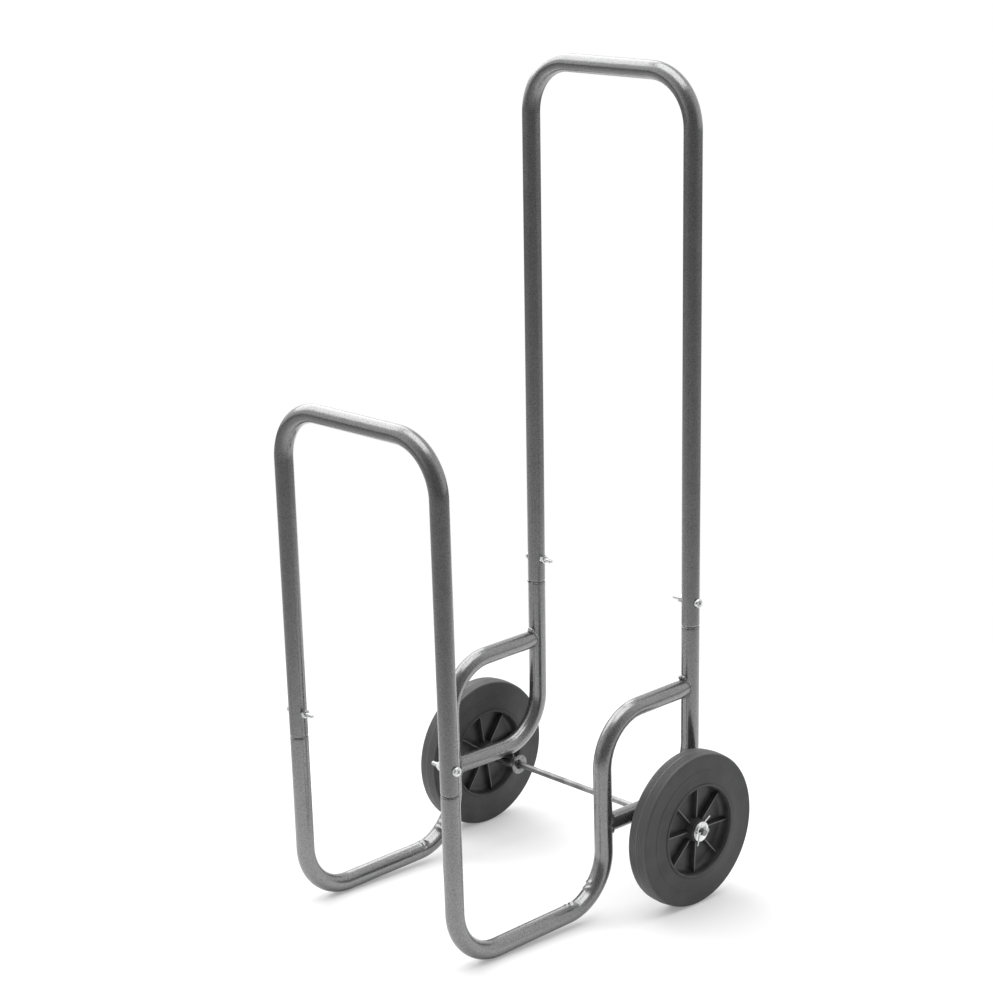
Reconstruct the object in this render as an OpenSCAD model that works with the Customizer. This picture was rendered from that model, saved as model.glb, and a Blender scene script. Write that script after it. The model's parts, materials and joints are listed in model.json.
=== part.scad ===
// Fireside log cart: two bent-tube side frames, a front hoop that keeps the logs in,
// a tall handle hoop, and two solid-tyred wheels on a straight axle.
// Every tube is drawn in the plane of the side frames, skids level, and stand() then
// sets the cart down on its front bends and its wheels, which tips it slightly forward.

/* [Tubes] */
// Outside diameter of all tubes, paint included
tube_d = 23; // [20:0.5:26]
// Wall of the tubes
tube_wall = 1.5; // [1:0.1:2.5]
// Centre-line radius of every bend
bend_r = 66; // [55:1:72]

/* [Side frames] */
// Distance between the two side frames, tube centre to tube centre
frame_spacing = 275; // [230:1:340]
// Front upright to riser, centre to centre
skid_length = 252; // [200:1:300]
// Height of the front seam above the skid
front_seam_h = 230; // [200:1:300]
// Height of the arm that ties the riser to the rear post, at its centre line
arm_h = 247; // [235:1:280]
// Front upright to rear post, centre to centre, at the height of the arm
post_y = 413.5; // [390:0.5:460]
// Lower run of the rear post, at its centre line, measured up the post from the skid
lower_run_h = 106; // [100:0.5:116]
// Backward lean of the rear post and handle from the side frame's square
post_lean = 1.15; // [0:0.05:4]
// Seam of the rear post, measured up the post from the skid
rear_seam_h = 328; // [300:1:400]

/* [Hoops] */
// Height of the front hoop's cross bar, at its centre line
front_hoop_h = 649; // [500:1:800]
// Length of the handle up the post from the skid to its cross bar's centre line
handle_h = 1014; // [800:1:1200]

/* [Joints of the hoops] */
// Length of the necked end that slides up into a hoop
spigot_l = 48; // [42:1:70]
// Screw above the seam
screw_rise = 31; // [22:1:34]
// Diameter of the screws' shanks
screw_d = 6; // [4:0.5:7]
// Diameter of the screw heads
head_d = 12; // [9.5:0.5:14]
// Height of the screw heads
head_h = 4.4; // [3:0.1:6]
// Width of the nuts across their flats
nut_width = 10; // [9:0.5:12]
// Thickness of the nuts
nut_h = 5; // [3:0.5:7]
// Screw that stands out past the nut
thread_end = 12; // [4:1:20]

/* [Axle] */
// Diameter of the axle
axle_d = 8; // [7:0.5:10]
// Front upright to axle, centre to centre
axle_y = 353; // [347:0.5:362]
// Outside diameter of the sleeves under the rear bends
sleeve_d = 16; // [14:0.5:20]
// Sleeve that shows inboard of its side frame's tube
sleeve_show = 9; // [4:0.5:16]
// Outside diameter of the washers
washer_d = 26; // [20:0.5:30]
// Thickness of the washers
washer_t = 1.6; // [1:0.1:2.5]
// Diameter of the split pins
pin_d = 2.6; // [2:0.1:3.2]

/* [Wheels] */
// Diameter of the wheels
wheel_d = 200; // [180:1:230]
// Width of the tyres at their shoulders
tyre_w = 28; // [24:0.5:32]
// Width of the tyres across the beads round the hub
lip_w = 34; // [32:0.5:38]
// Rounding of the tyres' shoulders
shoulder_r = 3.5; // [2:0.5:6]
// Rise of the tread to its middle
crown = 0.8; // [0.2:0.1:2]
// Radial width of the bulge between side wall and bead
flank_w = 17; // [8:1:26]
// Diameter of the open dish in the middle of the tyre
dish_d = 115; // [95:1:130]
// Side frame's tube to the inner lip of the tyre
wheel_gap = 24.5; // [18:0.5:40]
// Outside diameter of the hub boss
boss_d = 31; // [28:0.5:36]
// Thickness of the hub's web
web_t = 4; // [3:0.5:6]
// Depth of the ribs on each side of the web
rib_depth = 8; // [5:0.5:10]
// Thickness of the ribs
rib_t = 2; // [1.5:0.1:3]
// Number of ribs on each side
rib_count = 8; // [6:1:12]
// Turn of the left wheel, so that the ribs of the two don't line up
left_turn = 9; // [0:1:44]
// Turn of the right wheel
right_turn = -4; // [-22:1:22]

/* [Hidden] */

// Fits and small sizes
overrun = 1;
spigot_fit = 0.1;
seam_round = 1.2;
joint_step = 0.05;
shoulder_h = 2;
collar_l = 5;
spigot_lead = 2;
spigot_nose = 1;
weld_gap = 0.2;
weld_hug = 0.4;
weld_size = 3.2;
weld_length = 12;
sleeve_bead_share = 0.7;
screw_fit = 0.2;
nut_fit = 0.05;
recess_w = 1.3;
recess_depth = 2.2;
recess_span_share = 0.6;
seam_edge_share = 1 / 3;
// Screw head's outline, as shares of its radius and height
head_shares = [[1, 0], [1, 0.35], [0.93, 0.7], [0.7, 0.93], [0.35, 1], [0, 1]];
axle_fit = 0.05;
side_play = 0.3;
crimp_d = 3;
crimp_stand = 1.8;
rim_t = 3;
foot_r = 6.5;
rim_fit = 0.1;
bead_w = 3;
bead_round = 1;
bead_t = 2.6;
rib_root = 0.8;
boss_draft = 1;
pin_fit = 0.1;
pin_past_washer = 2.6;
axle_past_pin = 3.2;
pin_wire_d = 2;
pin_leg_d = 1.8;
pin_eye_r = 2.4;
pin_reach = 9;
pin_knee = 5;
pin_knee_angle = 105;
pin_upper_leg = 26;
pin_upper_angle = 29;
pin_lower_leg = 15;
pin_lower_angle = -106;

// Steps of the turned curves
flank_steps = 8;
shoulder_steps = 4;
foot_steps = 5;
crown_steps = 3;

tube_r = tube_d / 2;
bore_r = tube_r - tube_wall;
spigot_r = bore_r - spigot_fit;
sleeve_r = sleeve_d / 2;
axle_r = axle_d / 2;
wheel_r = wheel_d / 2;
half_spacing = frame_spacing / 2;

// Foot of the post's line, and the centre of the bend at the bottom of the post
post_foot_y = post_y - arm_h * tan(post_lean);
post_bend_centre = [
    post_foot_y - bend_r * cos(post_lean) + (lower_run_h + bend_r) * sin(post_lean),
    bend_r * sin(post_lean) + (lower_run_h + bend_r) * cos(post_lean)];

// The sleeve is welded against the outside of that bend
axle_h = post_bend_centre[1]
         - sqrt(pow(bend_r + tube_r + sleeve_r, 2) - pow(axle_y - post_bend_centre[0], 2));

// Places along the axle, from the middle of the cart out
sleeve_in_x = half_spacing - tube_r - sleeve_show;
lip_in_x = half_spacing + tube_r + wheel_gap;
wheel_x = lip_in_x + lip_w / 2;
boss_half = lip_w / 2;
sleeve_out_x = wheel_x - boss_half - side_play;
outer_washer_x = wheel_x + boss_half + side_play;
pin_x = outer_washer_x + washer_t + pin_past_washer;
axle_end_x = pin_x + axle_past_pin;
crimp_x = sleeve_in_x - washer_t - crimp_d / 2;

// Forward tilt at which the front bends and the wheels both touch the floor
tilt_run = axle_y - bend_r;
tilt_rise = axle_h - tube_r - bend_r;
tilt = asin((wheel_r - tube_r - bend_r) / norm([tilt_run, tilt_rise])) - atan2(tilt_rise, tilt_run);
floor_z = axle_y * sin(tilt) + axle_h * cos(tilt) - wheel_r;
front_reach = -front_hoop_h * sin(tilt) - tube_r;
back_reach = axle_y * cos(tilt) - axle_h * sin(tilt) + wheel_r;

// Sets a piece of the level cart down on the floor, centred over the origin
module stand() {
    translate([0, -(front_reach + back_reach) / 2, -floor_z])
        rotate([tilt, 0, 0])
            children();
}

// Draws in the side frame's plane, x forward to back and y up, on the side given
module side_plane(side) {
    translate([side * half_spacing, 0, 0])
        rotate([90, 0, 90])
            children();
}

// The post's own upright line: z runs up it from the skid
module along_post() {
    translate([0, post_foot_y, 0])
        rotate([-post_lean, 0, 0])
            children();
}

// Lays a revolved piece, drawn about z, on the axle's line, pointing outboard
module on_axle(side, x) {
    translate([side * x, axle_y, axle_h])
        rotate([0, side * 90, 0])
            children();
}

// A plane across the axle at x, drawn in with x forward to back and y up
module across_axle(x) {
    translate([x, axle_y, axle_h])
        rotate([90, 0, 90])
            children();
}

function way(a, b) = (b - a) / norm(b - a);
function turn(a, b, c) = atan2(cross(way(a, b), way(b, c)), way(a, b) * way(b, c));
function trim(a, b, c) = bend_r * tan(abs(turn(a, b, c)) / 2);
function left_of(v) = [-v[1], v[0]];
function lengthened(p, e) = [for (i = [0 : len(p) - 1])
    i == 0 ? p[0] - e * way(p[0], p[1])
    : i == len(p) - 1 ? p[i] + e * way(p[i - 1], p[i])
    : p[i]];

// One straight of round bar in the drawing plane
module bar(a, b, d) {
    translate([a[0], a[1], 0])
        rotate([0, 0, atan2(b[1] - a[1], b[0] - a[0])])
            rotate([0, 90, 0])
                cylinder(h = norm(b - a), d = d, $fn = 72);
}

// One bend of round bar at corner b, on the way from a to c
module elbow(a, b, c, d) {
    sweep = turn(a, b, c);
    start = b - way(a, b) * trim(a, b, c);
    centre = start + sign(sweep) * bend_r * left_of(way(a, b));
    first = atan2(start[1] - centre[1], start[0] - centre[0]);
    translate([centre[0], centre[1], 0])
        rotate([0, 0, min(first, first + sweep)])
            rotate_extrude(angle = abs(sweep), $fn = 96)
                translate([bend_r, 0])
                    circle(d = d, $fn = 72);
}

// Round bar bent along the points p
module bent_bar(p, d) {
    last = len(p) - 1;
    for (i = [0 : last - 1]) {
        cut_a = i == 0 ? 0 : trim(p[i - 1], p[i], p[i + 1]);
        cut_b = i == last - 1 ? 0 : trim(p[i], p[i + 1], p[i + 2]);
        bar(p[i] + cut_a * way(p[i], p[i + 1]), p[i + 1] - cut_b * way(p[i], p[i + 1]), d);
    }
    for (i = [1 : last - 1]) elbow(p[i - 1], p[i], p[i + 1], d);
}

// Hollow tube bent along the points p
module bent_tube(p) {
    difference() {
        bent_bar(p, tube_d);
        bent_bar(lengthened(p, overrun), 2 * bore_r);
    }
}

// Cross hole for a screw, through a tube that stands on z
module screw_hole(z) {
    translate([-tube_r - overrun, 0, z])
        rotate([0, 90, 0])
            cylinder(h = tube_d + 2 * overrun, d = screw_d + 2 * screw_fit, $fn = 48);
}

// Inverted U of tube, standing on the seams of both side frames
module hoop(seam, top) {
    legs = [[-half_spacing, seam], [-half_spacing, top], [half_spacing, top], [half_spacing, seam]];
    difference() {
        rotate([90, 0, 0]) bent_tube(legs);
        for (side = [-1, 1]) translate([side * half_spacing, 0, 0]) screw_hole(seam + screw_rise);
    }
}

// Rolled shoulder and necked end of a lower tube, drawn up z from its seam
module spigot() {
    difference() {
        rotate_extrude($fn = 72)
            polygon([
                [bore_r - tube_wall, -collar_l],
                [tube_r - joint_step, -collar_l],
                [tube_r - joint_step, -seam_round],
                [tube_r - seam_round * seam_edge_share, -seam_round * seam_edge_share],
                [tube_r - seam_round, 0],
                [spigot_r, 0],
                [spigot_r, spigot_l - spigot_lead],
                [spigot_r - spigot_nose, spigot_l],
                [bore_r - tube_wall, spigot_l]]);
        screw_hole(screw_rise);
    }
}

skid_path = [
    [0, front_seam_h - shoulder_h],
    [0, tube_r],
    [skid_length, tube_r],
    [skid_length, arm_h],
    [post_y, arm_h]];

// Solid bar on the post's line, to cope the arm's end against it
module post_line(d) {
    translate([half_spacing, 0, 0])
        along_post()
            translate([0, 0, lower_run_h + bend_r])
                cylinder(h = arm_h, d = d, $fn = 72);
}

// Solid bar on the riser's line
module riser_line(d) {
    translate([half_spacing, skid_length, tube_r + bend_r])
        cylinder(h = arm_h - tube_d - 2 * bend_r + tube_r, d = d, $fn = 72);
}

module skid_tube() {
    difference() {
        union() {
            side_plane(1) bent_tube(skid_path);
            translate([half_spacing, 0, front_seam_h]) spigot();
        }
        post_line(tube_d + 2 * weld_gap);
    }
}

// In the post's own plane, as far as the riser's centre line
post_path = [
    [0, rear_seam_h - shoulder_h],
    [0, lower_run_h],
    [skid_length - post_foot_y - lower_run_h * tan(post_lean), lower_run_h]];

// Draws in the post's own plane, x forward to back and y up the post
module post_plane() {
    translate([half_spacing, 0, 0])
        along_post()
            rotate([90, 0, 90])
                children();
}

module rear_post() {
    difference() {
        union() {
            post_plane() bent_tube(post_path);
            translate([half_spacing, 0, 0]) along_post() translate([0, 0, rear_seam_h]) spigot();
        }
        riser_line(tube_d + 2 * weld_gap);
    }
}

// Solid bar on the arm's line, that ends the given distance past the post's
module arm_line(past, d) {
    translate([half_spacing, post_y - tube_d, arm_h])
        rotate([-90, 0, 0])
            cylinder(h = tube_d + past, d = d, $fn = 72);
}

// Beads round the two T joints and along both sides of the sleeve
module frame_welds() {
    bead_d = tube_d + 2 * weld_size;
    ring_d = bead_d - 2 * weld_gap;
    hug_d = tube_d + 2 * weld_hug;
    difference() {
        intersection() {
            post_line(bead_d);
            arm_line(0, ring_d);
        }
        post_line(tube_d + 2 * weld_gap);
        arm_line(tube_d, hug_d);
    }
    difference() {
        intersection() {
            riser_line(bead_d);
            post_plane() bar(post_path[1], post_path[2], ring_d);
        }
        riser_line(tube_d + 2 * weld_gap);
        post_plane() bar(post_path[1], post_path[2] - [tube_d, 0], hug_d);
    }
    for (behind = [-1, 1]) sleeve_bead(behind);
}

// Bead in the corner between the sleeve and the bend, ahead of it or behind it
module sleeve_bead(behind) {
    bead_r = weld_size * sleeve_bead_share;
    // The bead's centre is as far from the sleeve's centre as from the bend's outside
    to_sleeve = sleeve_r + bead_r / 2;
    to_bend = bend_r + tube_r + bead_r / 2;
    apart = bend_r + tube_r + sleeve_r;
    along = (pow(to_bend, 2) - pow(to_sleeve, 2) + pow(apart, 2)) / (2 * apart);
    across = sqrt(pow(to_bend, 2) - pow(along, 2));
    down = way_down();
    centre = post_bend_centre + along * down + behind * across * left_of(down);
    difference() {
        side_plane(1)
            translate([centre[0], centre[1], -weld_length / 2])
                cylinder(h = weld_length, r = bead_r, $fn = 32);
        sleeve_line(sleeve_d + 2 * weld_gap);
        post_plane() bent_bar(post_path, tube_d + 2 * weld_gap);
    }
}

// From the centre of the rear bend to the axle
function way_down() = way(post_bend_centre, [axle_y, axle_h]);

module sleeve_line(d) {
    on_axle(1, sleeve_in_x - overrun)
        cylinder(h = sleeve_out_x - sleeve_in_x + 2 * overrun, d = d, $fn = 48);
}

module axle_sleeve() {
    on_axle(1, sleeve_in_x)
        difference() {
            cylinder(h = sleeve_out_x - sleeve_in_x, d = sleeve_d, $fn = 48);
            translate([0, 0, -overrun])
                cylinder(h = sleeve_out_x - sleeve_in_x + 2 * overrun, r = axle_r + axle_fit, $fn = 48);
        }
}

// Straight rod, swaged into ears inside the inner washers and drilled for the split pins
module axle_rod() {
    difference() {
        union() {
            on_axle(1, -axle_end_x) cylinder(h = 2 * axle_end_x, r = axle_r, $fn = 48);
            for (side = [-1, 1])
                translate([side * crimp_x, axle_y, axle_h - axle_r - crimp_stand])
                    cylinder(h = axle_d + 2 * crimp_stand, d = crimp_d, $fn = 32);
        }
        for (side = [-1, 1])
            across_axle(side * pin_x)
                rotate([0, 90, 0])
                    cylinder(h = 2 * axle_d, d = pin_d + 2 * pin_fit, center = true, $fn = 32);
    }
}

module washer(x) {
    on_axle(1, x)
        difference() {
            cylinder(h = washer_t, d = washer_d, $fn = 72);
            translate([0, 0, -overrun])
                cylinder(h = washer_t + 2 * overrun, r = axle_r + axle_fit, $fn = 48);
        }
}

// Split pin: an eye behind the axle, and ahead of it two legs bent apart
module split_pin() {
    eye = [axle_r + pin_fit + pin_eye_r + pin_wire_d / 2, 0];
    upper = [-pin_reach, 0];
    lower = [-pin_reach + pin_d, 0];
    up = [cos(pin_knee_angle), sin(pin_knee_angle)];
    over = [cos(pin_upper_angle), sin(pin_upper_angle)];
    down = [cos(pin_lower_angle), sin(pin_lower_angle)];
    knee = upper + pin_knee * up;
    across_axle(pin_x) {
        bar([-pin_reach - pin_d / 2, 0], [eye[0] - pin_eye_r, 0], pin_d);
        translate(eye) rotate_extrude($fn = 48) translate([pin_eye_r, 0]) circle(d = pin_wire_d, $fn = 24);
        bar(upper, knee + pin_leg_d / 2 * up, pin_wire_d);
        bar(knee - pin_wire_d / 2 * over, knee + pin_upper_leg * over, pin_leg_d);
        bar(lower, lower + pin_lower_leg * down, pin_leg_d);
    }
}

// Half of the tyre's outline, from the hub's seat round to the tread, as [radius, off centre]
function tyre_outline() =
    let (
        dish = dish_d / 2,
        lip = lip_w / 2,
        side = tyre_w / 2,
        flank = dish + bead_w,
        land = side - shoulder_r,
        edge = wheel_r - crown)
    concat(
        [[dish + rim_t, lip - bead_t],
         [dish, lip - bead_t],
         [dish, lip - bead_round],
         [dish + bead_round, lip],
         [flank, lip]],
        [for (i = [1 : flank_steps])
            [flank + flank_w * i / flank_steps, side + (lip - side) * (1 + cos(180 * i / flank_steps)) / 2]],
        [for (i = [0 : shoulder_steps])
            [edge - shoulder_r * (1 - sin(90 * i / shoulder_steps)),
             land + shoulder_r * cos(90 * i / shoulder_steps)]],
        [for (i = [1 : crown_steps - 1])
            [edge + crown * (1 - pow(1 - i / crown_steps, 2)), land * (1 - i / crown_steps)]]);

// The same points on the other side of the middle plane, in the order that closes the outline
function mirrored(p) = [for (i = [len(p) - 1 : -1 : 0]) [p[i][0], -p[i][1]]];

module tyre() {
    on_axle(1, wheel_x)
        rotate_extrude($fn = 144)
            polygon(concat(tyre_outline(), [[wheel_r, 0]], mirrored(tyre_outline())));
}

// Moulded hub: rim, web and boss turned in one, with a rounded foot between web and rim,
// and ribs across both dishes
module hub(spin) {
    rim_r = dish_d / 2 + rim_t - rim_fit;
    rim_half = lip_w / 2 - bead_t - rim_fit;
    inner_r = dish_d / 2 - rim_fit;
    boss_r = boss_d / 2;
    half = concat(
        [[axle_r + axle_fit, boss_half],
         [boss_r - boss_draft, boss_half],
         [boss_r, web_t / 2]],
        [for (i = [0 : foot_steps])
            [inner_r - foot_r * (1 - sin(90 * i / foot_steps)),
             web_t / 2 + foot_r * (1 - cos(90 * i / foot_steps))]],
        [[inner_r, rim_half],
         [rim_r, rim_half]]);
    on_axle(1, wheel_x)
        rotate([0, 0, spin])
            union() {
                rotate_extrude($fn = 144) polygon(concat(half, mirrored(half)));
                for (i = [0 : rib_count - 1])
                    rotate([0, 0, i * 360 / rib_count])
                        translate([boss_r - boss_draft - rib_root, -rib_t / 2, -web_t / 2 - rib_depth])
                            cube([inner_r + rib_root - boss_r + boss_draft, rib_t, web_t + 2 * rib_depth]);
            }
}

// Pan-headed screw with a crossed slot, drawn from the head's seat down z
module screw(grip) {
    difference() {
        union() {
            rotate_extrude($fn = 48)
                polygon(concat([[0, 0]], [for (s = head_shares) [s[0] * head_d / 2, s[1] * head_h]]));
            translate([0, 0, -grip]) cylinder(h = grip + overrun, d = screw_d, $fn = 48);
        }
        for (a = [0, 90])
            rotate([0, 0, a])
                translate([-head_d * recess_span_share / 2, -recess_w / 2, head_h - recess_depth])
                    cube([head_d * recess_span_share, recess_w, recess_depth + overrun]);
    }
}

module nut() {
    difference() {
        cylinder(h = nut_h, d = nut_width / cos(30), $fn = 6);
        translate([0, 0, -overrun])
            cylinder(h = nut_h + 2 * overrun, d = screw_d + 2 * nut_fit, $fn = 48);
    }
}

// Puts a fastener on both uprights at height z, head side outboard
module at_screws(z) {
    for (side = [-1, 1])
        translate([side * (half_spacing + tube_r), 0, z])
            rotate([0, side * 90, 0])
                children();
}

screw_grip = tube_d + nut_h + thread_end;

module right() { stand() children(); }
module left() { stand() mirror([1, 0, 0]) children(); }

module front_hoop() { color("dimgray") stand() hoop(front_seam_h, front_hoop_h); }
module handle_hoop() { color("dimgray") stand() along_post() hoop(rear_seam_h, handle_h); }
module left_skid_tube() { color("gray") left() skid_tube(); }
module right_skid_tube() { color("gray") right() skid_tube(); }
module left_rear_post() { color("gray") left() rear_post(); }
module right_rear_post() { color("gray") right() rear_post(); }
module left_frame_welds() { color("darkgray") left() frame_welds(); }
module right_frame_welds() { color("darkgray") right() frame_welds(); }
module left_axle_sleeve() { color("gray") left() axle_sleeve(); }
module right_axle_sleeve() { color("gray") right() axle_sleeve(); }
module axle() { color("lightgray") stand() axle_rod(); }
module left_tyre() { color("#4a4a4a") left() tyre(); }
module right_tyre() { color("#4a4a4a") right() tyre(); }
module left_hub() { color("#242424") left() hub(left_turn); }
module right_hub() { color("#242424") right() hub(right_turn); }
module left_inner_washer() { color("silver") left() washer(sleeve_in_x - washer_t); }
module right_inner_washer() { color("silver") right() washer(sleeve_in_x - washer_t); }
module left_outer_washer() { color("silver") left() washer(outer_washer_x); }
module right_outer_washer() { color("silver") right() washer(outer_washer_x); }
module left_split_pin() { color("silver") left() split_pin(); }
module right_split_pin() { color("silver") right() split_pin(); }
module front_hoop_screws() {
    color("silver") stand() at_screws(front_seam_h + screw_rise) screw(screw_grip);
}
module front_hoop_nuts() {
    color("silver") stand() at_screws(front_seam_h + screw_rise)
        translate([0, 0, -tube_d - nut_h]) nut();
}
module handle_screws() {
    color("silver") stand() along_post() at_screws(rear_seam_h + screw_rise) screw(screw_grip);
}
module handle_nuts() {
    color("silver") stand() along_post() at_screws(rear_seam_h + screw_rise)
        translate([0, 0, -tube_d - nut_h]) nut();
}

front_hoop();
handle_hoop();
left_skid_tube();
right_skid_tube();
left_rear_post();
right_rear_post();
left_frame_welds();
right_frame_welds();
left_axle_sleeve();
right_axle_sleeve();
axle();
left_tyre();
right_tyre();
left_hub();
right_hub();
left_inner_washer();
right_inner_washer();
left_outer_washer();
right_outer_washer();
left_split_pin();
right_split_pin();
front_hoop_screws();
front_hoop_nuts();
handle_screws();
handle_nuts();
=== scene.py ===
import json
import math

import bmesh
import bpy
from bpy.props import FloatProperty, FloatVectorProperty, IntProperty, PointerProperty
from mathutils import Matrix, Vector


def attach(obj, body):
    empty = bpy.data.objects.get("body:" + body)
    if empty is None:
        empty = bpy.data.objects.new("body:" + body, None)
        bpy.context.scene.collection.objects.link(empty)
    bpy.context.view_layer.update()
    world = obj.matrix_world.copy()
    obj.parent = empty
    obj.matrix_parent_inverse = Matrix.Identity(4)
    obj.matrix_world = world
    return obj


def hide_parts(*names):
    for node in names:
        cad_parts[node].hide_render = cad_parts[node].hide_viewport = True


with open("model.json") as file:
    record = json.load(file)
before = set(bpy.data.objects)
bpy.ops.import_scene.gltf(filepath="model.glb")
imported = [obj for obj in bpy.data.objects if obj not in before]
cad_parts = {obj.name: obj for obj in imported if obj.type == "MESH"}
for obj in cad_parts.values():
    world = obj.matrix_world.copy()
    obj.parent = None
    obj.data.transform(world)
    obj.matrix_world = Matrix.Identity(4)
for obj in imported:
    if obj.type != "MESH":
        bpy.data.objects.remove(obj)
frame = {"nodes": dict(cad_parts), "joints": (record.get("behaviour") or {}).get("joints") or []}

bl_info = {
    "name": "Fireside log cart",
    "version": (1, 0, 0),
    "blender": (4, 5, 0),
    "location": "View3D > Sidebar > Log cart",
    "description": "Dresses the tube frame, screws, axle and wheels of a fireside log cart",
    "category": "Add Mesh",
}

SIDES = {"left": -1, "right": 1}
WHEELS = {joint["child"]: Vector(joint["pos_m"]) for joint in frame["joints"]}
# Filled by the first operator
FINISHES = {}


# Sizes and colours

def length(name, description, default):
    return FloatProperty(name=name, description=description, default=default,
                         unit="LENGTH", subtype="DISTANCE", precision=4)


def angle(name, description, degrees):
    return FloatProperty(name=name, description=description, default=math.radians(degrees),
                         unit="ROTATION", subtype="ANGLE")


def fraction(name, description, default):
    return FloatProperty(name=name, description=description, default=default, unit="NONE", min=0.0, max=1.0)


def colour(name, description, red, green, blue):
    return FloatVectorProperty(name=name, description=description, size=3, subtype="COLOR",
                               default=(red, green, blue), min=0.0, max=1.0)


class FrameSizes(bpy.types.PropertyGroup):
    """Sizes of the tube frame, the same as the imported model's"""
    tube_d: length("Tube", "Outside diameter of all tubes", 0.023)
    tube_wall: length("Tube wall", "Wall of the tubes", 0.0015)
    bend_r: length("Bend radius", "Centre-line radius of every bend", 0.066)
    spacing: length("Frame spacing", "Distance between the side frames, centre to centre", 0.275)
    skid: length("Skid", "Front upright to riser, centre to centre", 0.252)
    front_seam: length("Front seam", "Height of the front seam above the skid", 0.230)
    arm_h: length("Arm height", "Height of the arm's centre line", 0.247)
    post_y: length("Post", "Front upright to rear post at the height of the arm", 0.4135)
    run_h: length("Lower run", "Height of the lower run, measured up the post", 0.106)
    lean: angle("Post lean", "Backward lean of the rear post and handle", 1.15)
    rear_seam: length("Rear seam", "Seam of the rear post, measured up the post", 0.328)
    front_hoop: length("Front hoop", "Height of the front hoop's cross bar", 0.649)
    handle: length("Handle", "Height of the handle's cross bar, up the post", 1.014)
    spigot: length("Spigot", "Length of the necked end inside a hoop", 0.048)
    seam_round: length("Seam rounding", "Rounding of the tube ends at a seam", 0.0020)
    seam_gap: length("Seam gap", "Gap between the tube ends at a seam", 0.0012)
    weld: length("Weld", "Leg of the weld beads", 0.0032)
    screw_rise: length("Screw rise", "Screw above its seam", 0.031)
    axle_y: length("Axle", "Front upright to axle, centre to centre", 0.353)
    axle_d: length("Axle diameter", "Diameter of the axle", 0.008)
    sleeve_d: length("Sleeve", "Outside diameter of the axle sleeves", 0.016)
    sleeve_show: length("Sleeve shown", "Sleeve that shows inboard of its tube", 0.009)


class WheelSizes(bpy.types.PropertyGroup):
    """Sizes of the wheels and what holds them on"""
    wheel_d: length("Wheel", "Diameter of the wheels", 0.200)
    tyre_w: length("Tyre width", "Width of the tyres at their shoulders", 0.028)
    lip_w: length("Lip width", "Width of the tyres across the beads round the hub", 0.034)
    shoulder_r: length("Shoulder", "Rounding of the tyres' shoulders", 0.0035)
    crown: length("Crown", "Rise of the tread to its middle", 0.0008)
    flank_w: length("Flank", "Radial width of the bulge outside the bead", 0.017)
    dish_d: length("Dish", "Diameter of the open dish in the tyre", 0.115)
    bead_w: length("Bead", "Radial width of the bead round the hub", 0.003)
    boss_d: length("Boss", "Outside diameter of the hub boss", 0.031)
    web_t: length("Web", "Thickness of the hub's web", 0.004)
    rib_depth: length("Rib depth", "Depth of the ribs on each side of the web", 0.008)
    rib_t: length("Rib thickness", "Thickness of the ribs", 0.002)
    ribs: IntProperty(name="Ribs", description="Ribs on each side of the web", default=8, min=4)
    left_turn: angle("Left wheel turn", "Turn of the left wheel's ribs", 9.0)
    right_turn: angle("Right wheel turn", "Turn of the right wheel's ribs", -4.0)
    washer_d: length("Washer", "Outside diameter of the washers", 0.026)
    washer_t: length("Washer thickness", "Thickness of the washers", 0.0016)
    play: length("Side play", "Gap on each side of a wheel", 0.0003)
    pin_wire: length("Pin wire", "Thickness of one leg of a split pin", 0.0019)


class FastenerSizes(bpy.types.PropertyGroup):
    """Sizes of the screws and nuts"""
    screw_d: length("Thread", "Diameter of the screws", 0.006)
    head_d: length("Head", "Diameter of the screw heads", 0.012)
    head_h: length("Head height", "Height of the screw heads", 0.0044)
    nut_w: length("Nut", "Width of the nuts across their flats", 0.010)
    nut_h: length("Nut height", "Thickness of the nuts", 0.005)
    thread_end: length("Thread end", "Screw that stands out past the nut", 0.012)
    pitch: length("Pitch", "Pitch of the thread", 0.001)


class CartColours(bpy.types.PropertyGroup):
    """Colours of the finishes"""
    paint: colour("Paint", "Hammered grey paint of the tubes", 0.267, 0.267, 0.269)
    paint_dark: colour("Paint, dark", "Paint in the hollows of its pattern", 0.188, 0.188, 0.190)
    # Painted shade: the front hoop's paint is the frame paint made darker
    front_shade: fraction("Front hoop's shade", "Brightness of its paint beside the other tubes'", 0.91)
    # Near black that the paint turns to round the places beside the sleeve welds
    scorch: colour("Scorch", "Paint burnt beside the sleeve welds", 0.02, 0.02, 0.02)
    zinc: colour("Zinc", "Bright zinc of the screws, nuts and washers", 0.84, 0.845, 0.85)
    # The inner washers' zinc is a darker copy of the bright zinc
    dull_zinc: colour("Dull zinc", "Darker plating of the inner washers", 0.27, 0.27, 0.275)
    steel: colour("Steel", "Drawn steel of the axle", 0.36, 0.36, 0.365)
    tyre: colour("Tyre", "Solid rubber", 0.064, 0.064, 0.065)
    dust: colour("Dust", "Dust on the tyres", 0.30, 0.29, 0.28)
    hub: colour("Hub", "Moulded black hub", 0.044, 0.044, 0.045)
    floor: colour("Floor", "Studio floor", 0.90, 0.90, 0.90)


def settings():
    scene = bpy.context.scene
    return scene.cart_frame, scene.cart_wheels, scene.cart_fasteners, scene.cart_colours


# Where things are

# The split pin's middle, outboard of the outer washer
PIN_PAST_WASHER = 0.0026


def post_foot(f):
    """Where the leaning post's line meets the skid's level"""
    return f.post_y - f.arm_h * math.tan(f.lean)


def run_end(f):
    """Where the lower run's line meets the riser, back from the post's own line"""
    return f.skid - post_foot(f) - f.run_h * math.tan(f.lean)


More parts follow.
